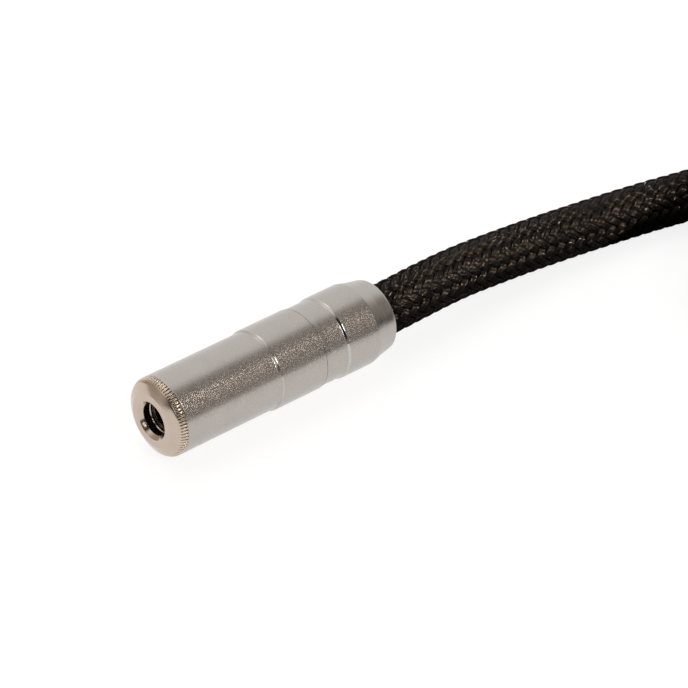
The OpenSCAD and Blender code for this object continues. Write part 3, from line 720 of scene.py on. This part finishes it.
# %% Twisted copper
WAVE_BAND = math.pi / 10
STRAND = 0.3 * MM
SLANT = (0.6, 0.6, 0.6)  # radians round each axis
copper, tree, shader = finish_of("twisted_copper_strands", "#C4764F", {"Metallic": 1.0, "Roughness": 0.28})
where = node(tree, "TexCoord").outputs["Object"]
slanted = node(tree, "Mapping", {"Vector": where, "Rotation": SLANT}).outputs[0]
strands = {"Vector": slanted, "Scale": WAVE_BAND / STRAND, "Distortion": 0.4}
ridges = node(tree, "TexWave", strands, bands_direction="X").outputs[1]
# painted shade and highlight: the colour is darker between the strands and lighter on their crests
follow(tree, shader, ridges, ("#8E4A2D", "#D08A62"), depth=0.05 * MM)
finishes["copper"] = copper
print("strands", round(STRAND / MM, 2), "mm apart")

# %% [markdown]
# ## Turned pieces
# A turned piece is one outline spun round its axis. The CAD piece has that outline at its exact
# size, but with knife edges. So the outline is taken from it: cut the CAD mesh with a plane
# through its axis and keep one half of the cut.

# %% Cut an outline
SAME_POINT = 0.0001 * MM
NEAR_AXIS = 0.001 * MM
STRAIGHT = math.radians(1.5)  # a smaller bend isn't a corner


def cut_outline(source, axis_y):
    """Half of a turned CAD piece's section, as a wire in the plane through its axis."""
    shape = bmesh.new()
    shape.from_mesh(nodes[source].data)
    bmesh.ops.remove_doubles(shape, verts=shape.verts, dist=NEAR_AXIS)
    bmesh.ops.bisect_plane(
        shape, geom=[*shape.verts, *shape.edges, *shape.faces], dist=SAME_POINT,
        plane_co=(0, axis_y, AXIS_Z), plane_no=(0, 0, 1), clear_inner=True, clear_outer=True,
    )
    other_half = [v for v in shape.verts if v.co.y < axis_y - NEAR_AXIS or not v.link_edges]
    bmesh.ops.delete(shape, geom=other_half, context="VERTS")
    bmesh.ops.dissolve_limit(shape, angle_limit=STRAIGHT, verts=shape.verts, edges=shape.edges)
    return shape


outline = cut_outline("front_barrel", 0)
print("the barrel's outline has", len(outline.verts), "corners")
outline.free()

# %% [markdown]
# ## Spinning an outline
# Each corner of the outline is rounded a little, and then it is spun again. Every size stays, and
# the broken edge catches the light. A spun piece stands for its CAD node, whose finish can differ
# from face to face.


# %% Spin an outline and make it a piece
SHARP = math.radians(35)  # a sharper edge isn't shaded smooth


def spin_outline(shape, axis_y, edge, steps, rings=(), done=()):
    """Rounds a wire's corners by edge, but for those done, cuts it at the rings' X and spins it."""
    corners = [v for v in shape.verts if len(v.link_edges) == 2 and v not in done]
    bmesh.ops.bevel(
        shape, geom=corners, offset=edge, segments=3, profile=0.5, affect="VERTICES", material=-1,
        clamp_overlap=True,
    )
    for x in rings:
        wire = [*shape.verts, *shape.edges]
        bmesh.ops.bisect_plane(shape, geom=wire, plane_co=(x, 0, 0), plane_no=(1, 0, 0))
    bmesh.ops.spin(
        shape, geom=[*shape.verts, *shape.edges], cent=(0, axis_y, AXIS_Z), axis=(1, 0, 0),
        angle=2 * math.pi, steps=steps, use_merge=True,
    )
    bmesh.ops.remove_doubles(shape, verts=shape.verts, dist=SAME_POINT)


def turned_piece(shape, source, slot, materials, choose=None):
    """Makes a spun skin the piece for its CAD node, and lets choose pick each face's finish."""
    bmesh.ops.recalc_face_normals(shape, faces=shape.faces)
    open_edges = sum(not e.is_manifold for e in shape.edges)
    if choose:
        for face in shape.faces:
            face.material_index = choose(face)
    mesh = bpy.data.meshes.new(source)
    shape.to_mesh(mesh)
    shape.free()
    mesh.shade_smooth()
    mesh.set_sharp_from_angle(angle=SHARP)
    piece = add_piece(source + "_turned", mesh, "shell", slot, materials)
    piece.modifiers.new("even shading", "WEIGHTED_NORMAL").keep_sharp = True
    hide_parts(source)
    print("   with", open_edges, "open edges")
    return piece


def turned(source, axis_y, slot, materials, edge, steps, choose=None):
    """A CAD piece spun again with broken edges."""
    shape = cut_outline(source, axis_y)
    spin_outline(shape, axis_y, edge, steps)
    return turned_piece(shape, source, slot, materials, choose)


# %% [markdown]
# ## The barrel and the tail cap
# Both are blasted all over, and three places differ. The rounded edge of each raised land is the
# bright line. The cap's taper is turned, from its land to its rear face. And the joint between the
# two is coloured dark: painted shade, where the groove between them would lie in shadow.

# %% The barrel and the tail cap
SHELL_EDGE = 0.13 * MM
SHELL_STEPS = 192
SEAM = 0.14 * MM  # how far the painted shade in the joint between barrel and cap reaches
TAPER_LEN = 5.6 * MM  # from the cap's land to its rear face
LINE_DEPTH = 0.16 * MM  # how far below the land's surface the bright line at its edge reaches
LEANING = (0.15, 0.95)  # how far along the axis the normal of a face on the bright line points
JOINT_FACE = 0.3  # the same of a face in the joint, at least
BLASTED, BRIGHT, FINE, JOINT_SHADE = range(4)
# painted shade: the joint's faces are coloured near black, as if the groove were in shadow
joint_shade = plain_finish("painted_shade_in_a_joint", "#2B2825", "#3E3A36", 0.3 * MM, (0.4, 0.7), 0.004 * MM, {})


def from_axis(point, axis_y):
    """How far a point lies from an axis at that Y, sideways and up."""
    return point.y - axis_y, point.z - AXIS_Z


def shell_pieces(place, axis_y, barrel, cap):
    """A barrel and its tail cap, with bright edges, a turned taper and painted shade in their joint."""
    joint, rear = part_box(cap)[0].x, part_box(cap)[1].x
    land_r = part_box(cap)[1].y - axis_y

    def choose(face):
        centre, along = face.calc_center_median(), abs(face.normal.x)
        if centre.x > rear - TAPER_LEN:
            return FINE
        # faces in the joint get the painted shade
        if abs(centre.x - joint) < SEAM and along > JOINT_FACE:
            return JOINT_SHADE
        on_line = math.hypot(*from_axis(centre, axis_y)) > land_r - LINE_DEPTH
        return BRIGHT if on_line and LEANING[0] < along < LEANING[1] else BLASTED

    metals = turned_metals[place]
    materials = [blasted, metals["diamond_cut_aluminium"], metals["fine_turned_aluminium"], joint_shade]
    return [
        turned(source, axis_y, "blasted_aluminium", materials, SHELL_EDGE, SHELL_STEPS, choose)
        for source in (barrel, cap)
    ]


shell_pieces("socket", 0, "front_barrel", "tail_cap")

# %% [markdown]
# ## The knurled bush
# The rim has 74 teeth, rolled with a straight knurl. The outline is spun in eight steps to a
# tooth, and then every point that lies in a groove is pulled in by the groove's depth. The
# grooves follow the rim's rounded front corner and run out on the bevel, so the corner gets a few
# extra rings first.

# %% The knurl's sizes
TEETH = 74
TOOTH_STEPS = 8
CREST = 0.28  # half of a tooth's flat top, as a share of the pitch
GROOVE = 0.3 * MM
GROOVE_LUCK = (0.86, 1.1)  # the shallowest and the deepest groove, as shares of GROOVE
GROOVE_SHADE_FROM = 0.35  # how deep in a groove the painted shade starts, as a share of its depth
BEVEL_LEN = 1.25 * MM
RIM_ROUND = 1.0 * MM  # how far the rim's front corner is rounded off, along each side
RUN_OUT = 0.2 * MM  # how far the grooves reach onto the bevel
FULL_DEPTH = 0.7 * MM  # how far behind their ends the grooves are full
RIM_DROP = 0.8 * MM  # how much lower the rim's rounded corner starts than its crests
RIM_SEGMENTS = 10  # of the rounded corner
RIM_RINGS = 9  # the extra ones
RIM_END = 0.01 * MM  # the rim's last ring may lie this far behind it
BUSH_EDGE = 0.04 * MM
FERRULE_STEPS = 128
PLATED, KNURLED, GROOVE_SHADE = range(3)


def pitches_round(point, axis_y):
    """How many teeth round the rim a point lies."""
    sideways, up = from_axis(point, axis_y)
    return math.atan2(up, sideways) / (2 * math.pi) * TEETH


def groove_share(pitches):
    """How deep a place round the rim lies in a groove: 0 or less on a tooth and 1 in the middle."""
    return (abs(pitches - round(pitches)) - CREST) / (0.5 - CREST)


rim_length = 2 * math.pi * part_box("knurled_bush")[1].y
print("a tooth is", round(rim_length / TEETH / MM, 2), "mm wide")


# %% The knurled bush
def knurled(source, axis_y, place, barrel):
    """A bush with a knurled rim, which ends where the barrel starts."""
    low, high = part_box(source)
    rim_r = high.y - axis_y
    rim_from, rim_to = low.x + BEVEL_LEN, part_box(barrel)[0].x
    depths = GROOVE * np.random.default_rng(5).uniform(*GROOVE_LUCK, TEETH)
    shape = cut_outline(source, axis_y)
    corner = min(shape.verts, key=lambda v: (v.co - Vector((rim_from, high.y, AXIS_Z))).length)
    rounded = bmesh.ops.bevel(
        shape, geom=[corner], offset=RIM_ROUND, segments=RIM_SEGMENTS, profile=0.5, affect="VERTICES"
    )["verts"]
    rings = np.linspace(rim_from - RUN_OUT, rim_from + RIM_ROUND, RIM_RINGS)
    spin_outline(shape, axis_y, BUSH_EDGE, TEETH * TOOTH_STEPS, rings, rounded)
    for v in shape.verts:
        sideways, up = from_axis(v.co, axis_y)
        radius = math.hypot(sideways, up)
        if radius > rim_r - RIM_DROP and v.co.x < rim_to + RIM_END:
            pitches = pitches_round(v.co, axis_y)
            begun = min(max((v.co.x - rim_from + RUN_OUT) / FULL_DEPTH, 0), 1)
            depth = depths[math.floor(pitches) % TEETH] * max(groove_share(pitches), 0) * begun
            drawn_in = 1 - depth / radius
            v.co.y, v.co.z = axis_y + sideways * drawn_in, AXIS_Z + up * drawn_in

    def choose(face):
        centre = face.calc_center_median()
        radius = math.hypot(*from_axis(centre, axis_y))
        if radius < rim_r - RIM_DROP - GROOVE or not rim_from - RUN_OUT < centre.x < rim_to:
            return PLATED
        # a face deep in a groove gets the painted shade
        return GROOVE_SHADE if groove_share(pitches_round(centre, axis_y)) > GROOVE_SHADE_FROM else KNURLED

    names = ("satin_nickel_plate", "knurled_nickel_plate", "painted_groove_shade")
    materials = [turned_metals[place][name] for name in names]
    return turned_piece(shape, source, "nickel_plate", materials, choose)


knurled("knurled_bush", 0, "socket", "front_barrel")
turned("sleeve_ferrule", 0, "nickel_plate", [finishes["nickel_plate"]], BUSH_EDGE, FERRULE_STEPS)

# %% [markdown]
# ## The plug
# The plug on the lead's far end is made the same way. Its shaft is bare nickel between black
# insulating washers, and it shares the bush and the tail with the socket.

# %% The plug
SHAFT_STEPS = 96
BARE = ("nickel_plate", turned_metals["plug"]["satin_nickel_plate"])
MOULDED = ("black_moulding", finishes["black_moulding"])
SHAFT = {  # each piece's slot and finish, and its broken edge
    "plug_tip": (*BARE, 0.08 * MM),
    "plug_ring": (*BARE, 0.03 * MM),
    "plug_sleeve": (*BARE, 0.03 * MM),
    "plug_tip_insulator": (*MOULDED, 0.02 * MM),
    "plug_ring_insulator": (*MOULDED, 0.02 * MM),
}
plug = [*shell_pieces("plug", PLUG_AXIS_Y, "plug_barrel", "plug_tail_cap")]
plug.append(knurled("plug_bush", PLUG_AXIS_Y, "plug", "plug_barrel"))
for source, (slot, finish, edge) in SHAFT.items():
    plug.append(turned(source, PLUG_AXIS_Y, slot, [finish], edge, SHAFT_STEPS))

# %% [markdown]
# ## The straps' weave
# Three woven straps hold the coil. The weave follows the tape, so its pattern reads the tape's
# own UV map: one unit is one tape width. A checker gives the threads that lie on top and under,
# and a wave rounds each of them.

# %% The straps' weave
STRAP_W = 10 * MM
STRAP_T = 0.8 * MM
THREAD = 0.5 * MM
threads_across = STRAP_W / THREAD
strap_finish, tree, shader = finish_of("woven_polyester_strap", "#17171A", {"IOR": 1.5})
where = node(tree, "UVMap", uv_map="thread").outputs[0]
checks = node(tree, "TexChecker", {"Vector": where, "Scale": threads_across}).outputs[1]
rows = {"Vector": where, "Scale": WAVE_BAND * threads_across}
ribs = node(tree, "TexWave", rows, bands_direction="X").outputs[1]
both = node(tree, "Math", {0: checks, 1: ribs}, operation="ADD").outputs[0]
weave = node(tree, "Math", {0: both, 1: 0.5}, operation="MULTIPLY").outputs[0]
# painted shade: the threads that lie under, and the sides of each thread, are coloured darker
follow(tree, shader, weave, ("#0C0C0E", "#26262A"), depth=0.08 * MM)
follow(tree, shader, grain(tree, 1 * MM), roughness=(0.55, 0.8), span=NOISE_SPAN)
finishes["strap"] = strap_finish
print("threads across a strap:", round(threads_across))

# %% [markdown]
# ## The straps round the coil
# Each strap is one flat tape, laid round the coil's section with a rounded turn at every corner,
# and its end lies over its start on top of the coil.

# %% The straps
STRAP_ANGLES = (30, 150, 300)
STRAP_GAP = 0.15 * MM  # beside the coil
STRAP_SLACK = 0.2 * MM  # above it
STRAP_CORNER_R = 0.8 * CABLE_R + STRAP_T / 2
CORNER_STEPS = 10
TAPE_START = 5 * MM  # from the strap's middle, outwards
TAPE_LIFT = 8 * MM  # from the strap's middle to where the tape rises over its start
TAPE_END = 2 * MM  # from the strap's inner corner
TAPE_SHARP = math.radians(40)
strap_bottom = STRAP_T / 2
strap_top = TURN_PITCH + CABLE_D + STRAP_SLACK + 1.5 * STRAP_T


def strap_line(angle):
    """A tape's middle line round the coil's section at that angle, and its outward directions."""
    turns = (COIL_START - angle) / 360 + np.arange(math.ceil(COIL_TURNS) + 1)
    radii = [coil_radius(t) for t in turns if 0 <= t <= COIL_TURNS]
    inner = min(radii) - CABLE_R
    bow = inner - math.sqrt(inner * inner - STRAP_W * STRAP_W / 4)
    low = inner - bow - STRAP_GAP - STRAP_T / 2
    high = max(radii) + CABLE_R + STRAP_GAP + STRAP_T / 2
    middle, r = (low + high) / 2, STRAP_CORNER_R
    corners = (
        (low + r, strap_top - r, 90), (low + r, strap_bottom + r, 180),
        (high - r, strap_bottom + r, 270), (high - r, strap_top - r, 360),
    )
    points = [(middle + TAPE_START, strap_top)]
    for x, z, start in corners:
        for a in np.radians(np.linspace(start, start + 90, CORNER_STEPS)):
            points.append((x + r * math.cos(a), z + r * math.sin(a)))
    points.append((middle + TAPE_LIFT, strap_top))
    points.append((middle + TAPE_START, strap_top + STRAP_T))
    points.append((low + r + TAPE_END, strap_top + STRAP_T))
    points = np.array(points)
    forward = np.gradient(points, axis=0)
    forward /= np.linalg.norm(forward, axis=1)[:, None]
    away = np.array(towards(angle, 0))
    upwards = np.array((0, 0, 1.0))
    line = np.array((*COIL_CENTRE, 0)) + points[:, :1] * away + points[:, 1:] * upwards
    return line, forward[:, 1:] * away - forward[:, :1] * upwards


tape_outline = np.array((
    (-0.5, -0.3), (-0.48, -0.5), (0.48, -0.5), (0.5, -0.3),
    (0.5, 0.3), (0.48, 0.5), (-0.48, 0.5), (-0.5, 0.3),
)) * (STRAP_W, STRAP_T)
strap_lines, strap_outward = (np.stack(x) for x in zip(*map(strap_line, STRAP_ANGLES)))
straps = sweep("coil_straps", strap_lines, strap_outward, tape_outline, "strap", strap_finish)
straps.data.set_sharp_from_angle(angle=TAPE_SHARP)
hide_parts("coil_ties")

# %% [markdown]
# ## Finishes for the CAD pieces that stay
# The remaining pieces keep their CAD meshes. Each takes the finish of its own slot.

# %% Give every CAD piece its finish
for part in frame["record"]["subparts"]:
    for material_slot in nodes[part["node"]].material_slots:
        material_slot.material = finishes[part["material_slot"]]
print("finishes:", len(finishes), "on", len(nodes), "CAD nodes")

# %% [markdown]

# %% [markdown]
# ## The room
# Smooth metal is mostly a picture of the room round it, so the room is drawn first as directions
# and brightness. It is white all over. A dim side low beside the camera draws the dark band along
# the barrel. A dark corner behind the camera, and a dark and a dull wall that the mouth faces,
# give the bush and the bright lines something to mirror. Small lamps and a window show in them as
# glints, and two bare bulbs light the sparkles in the band.

# %% The parts of the room
# azimuth, elevation, radius filled and radius faded to, all in degrees, colour and brightness
ROOM = [
    (-80, 15, 62, 82, "#95908A", 1.0),  # the dim side
    (-142, 30, 30, 38, "#1B232F", 1.0),  # the dark corner
    (-168, 4, 12, 42, "#54453A", 1.0),  # a dark wall low in front of the mouth
    (125, 6, 14, 50, "#B9AFA6", 1.0),  # a dull wall beside it
    (-159, 26, 2, 5, "#FFFFFF", 3.0),  # two tube lamps in the dark corner
    (-153, 17, 2, 5, "#FFFFFF", 3.0),
    (-97, 42, 7, 11, "#FFFFFF", 6.0),  # a window high in the dim side
    (-73, 27, 1.5, 3, "#FFF0E6", 31.0),  # two bare bulbs on the dim side
    (-62, 46, 1.5, 3, "#FFF0E6", 31.0),
    (80, 66, 8, 14, "#FFF4EC", 2.0),  # a soft lamp overhead
]
print("patches in the room:", len(ROOM))

# %% [markdown]
# ## Painting the room
# Each part is a round patch in the world's shader, which costs no extra objects. How well a
# direction agrees with the patch's own is their dot product, and a smooth step of that gives the
# patch a soft edge. Each patch is laid over the ones before it.

# %% The world's shader
room = bpy.data.worlds.new("studio")
bpy.context.scene.world = room
room.use_nodes = True
tree = room.node_tree
direction = node(tree, "TexCoord").outputs["Generated"]
light = colour("#FFFFFF")
for azimuth, elevation, filled, faded, code, brightness in ROOM:
    facing = node(
        tree, "VectorMath", {0: direction, 1: towards(azimuth, elevation)}, operation="DOT_PRODUCT"
    ).outputs["Value"]
    edge = {
        "Value": facing,
        "From Min": math.cos(math.radians(faded)),
        "From Max": math.cos(math.radians(filled)),
    }
    share = node(tree, "MapRange", edge, interpolation_type="SMOOTHSTEP").outputs["Result"]
    patch = [brightness * c for c in colour(code)]
    light = node(tree, "Mix", {0: share, 6: light, 7: patch}, data_type="RGBA").outputs[2]
tree.links.new(light, tree.nodes["Background"].inputs["Color"])
bpy.context.scene.view_settings.view_transform = "Standard"
print("world:", room.name)

# %% [markdown]
# ## The floor
# The floor is a light table: white acrylic with light coming through it. It reads as white, and
# the object leaves only a faint shadow on it.

# %% The floor
FLOOR_HALF = 3  # metres, half of its side
TABLE_GLOW = 0.84
sheet = bmesh.new()
bmesh.ops.create_grid(sheet, x_segments=1, y_segments=1, size=FLOOR_HALF)
floor_mesh = bpy.data.meshes.new("light_table")
sheet.to_mesh(floor_mesh)
sheet.free()
acrylic, _, shader = finish_of(
    "lit_white_acrylic", "#898989",
    {"Roughness": 0.9, "Specular IOR Level": 0.1, "Emission Strength": TABLE_GLOW},
)
shader.inputs["Emission Color"].default_value = colour("#FFFFFF")
floor_mesh.materials.append(acrylic)
light_table = bpy.data.objects.new("light_table", floor_mesh)
bpy.context.scene.collection.objects.link(light_table)
light_table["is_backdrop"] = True
print("floor:", light_table.name)

# %% [markdown]
# ## Two lamps for the lead
# The braid is black, so it only shows by what it mirrors. Two small bright lamps draw a glint on
# each float. Each stands where one of the braid's two families of threads mirrors it into the
# lens. They are flagged off the metal: light linking lets them shine on the lead alone.

# %% The lamps
LAMP_DISTANCE = 1.0
LAMP_RADIUS = 0.03
LAMPS = [(-73, 29, 255), (-10, 75, 155)]  # azimuth, elevation, watts
lamp_aim = Vector((0.096, -0.003, 0.005))
lead_only = bpy.data.collections.new("lit_by_the_lead_lamps")
for piece in (*braid, hairs):
    lead_only.objects.link(piece)
for azimuth, elevation, watts in LAMPS:
    lamp_data = bpy.data.lights.new("lead_lamp", "POINT")
    lamp_data.energy = watts
    lamp_data.shadow_soft_size = LAMP_RADIUS
    lamp = bpy.data.objects.new("lead_lamp", lamp_data)
    lamp.location = lamp_aim + LAMP_DISTANCE * towards(azimuth, elevation)
    bpy.context.scene.collection.objects.link(lamp)
    lamp.light_linking.receiver_collection = lead_only

# %% [markdown]
# ## Keeping the table's glow off the braid
# The glow from below turns the braid's edges grey. In a studio, a black card under the cable
# would stop it. Here light linking does: the table shines on everything but the braid.

# %% The table's light
not_the_lead = bpy.data.collections.new("lit_by_the_table")
for piece in (*braid, hairs):
    not_the_lead.objects.link(piece)
for linked in not_the_lead.collection_objects:
    linked.light_linking.link_state = "EXCLUDE"
light_table.light_linking.receiver_collection = not_the_lead

# %% [markdown]
# ## Sizes
# Both boxes are printed: the CAD model's and the finished model's. The finished model
# has to stay in the CAD model's box.

# %% Print both boxes
boxes = {"cad": cad_box, "visual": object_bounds()}
for name, box in boxes.items():
    print(name, [tuple(round(x / MM, 2) for x in corner) for corner in box])
